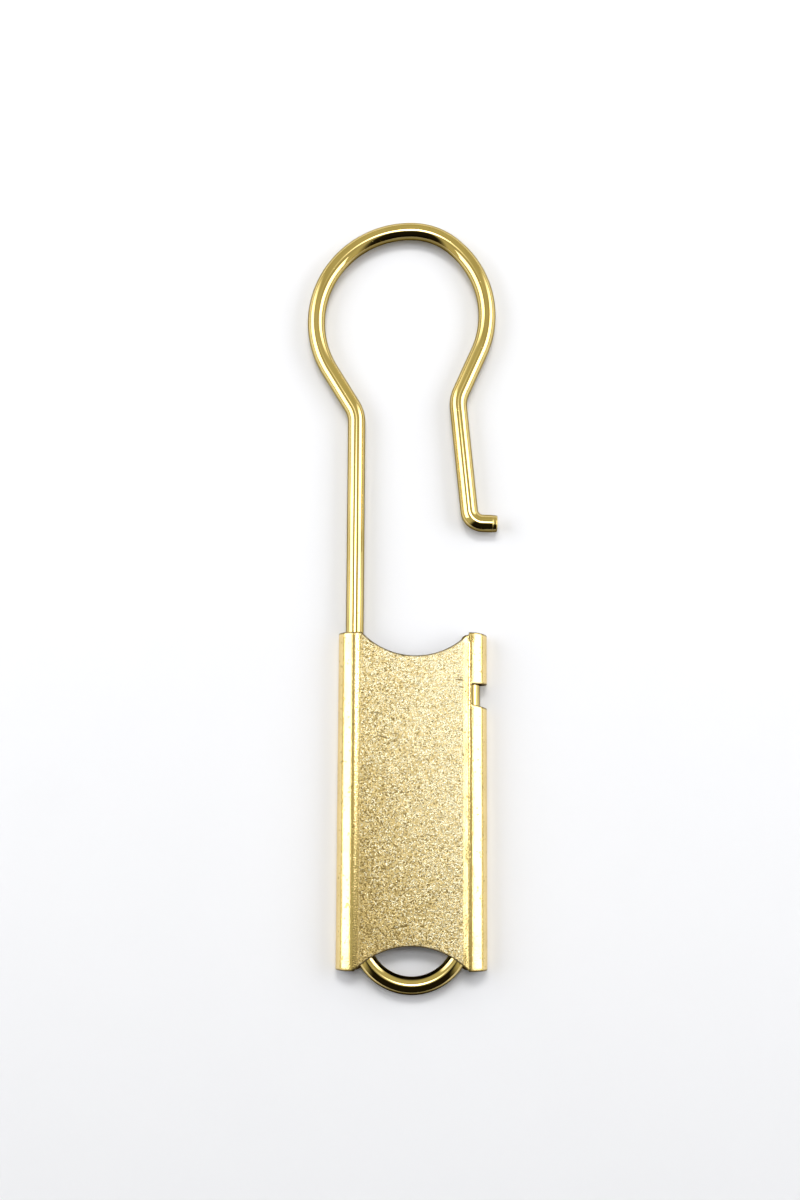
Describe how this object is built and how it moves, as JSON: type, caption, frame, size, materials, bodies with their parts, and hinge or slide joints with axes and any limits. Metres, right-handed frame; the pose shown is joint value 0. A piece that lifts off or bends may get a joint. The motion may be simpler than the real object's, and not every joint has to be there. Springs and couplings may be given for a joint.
{
  "type": "toggle keyring",
  "caption": "Brass key hook: an open spring-wire loop whose sprung tip latches in a notch when the sheet sheath is slid up the wire.",
  "frame": {"origin": "middle of the hook's bounding box in X and Y, on the surface that its back flanges rest on", "axes": "+Y along the hook towards the hanging loop, +X to the right seen from the front, +Z out of the front plate"},
  "size_m": [0.0276, 0.1108, 0.0038],
  "materials": {
    "sheath_brass": "satin, tumbled, fine speckle and light scratches",
    "wire_brass": "bright drawn wire"
  },
  "bodies": {
    "sheath": {"sheath": "sheath_brass"},
    "wire": {"wire_frame": "wire_brass"},
    "arm": {"hook_arm": "wire_brass"}
  },
  "joints": [
    {"name": "wire_slide", "type": "slide", "parent": "sheath", "child": "wire", "axis": [0, -1, 0], "range_m": [0, 0.02466]},
    {"name": "arm_flex", "type": "hinge", "parent": "wire", "child": "arm", "pos_m": [0.00128, 0.05419, 0.00183], "axis": [0, 0, -1], "range_deg": [0, 5], "stiffness_Nm_per_rad": 6, "deforming": ["hook_arm"]}
  ]
}
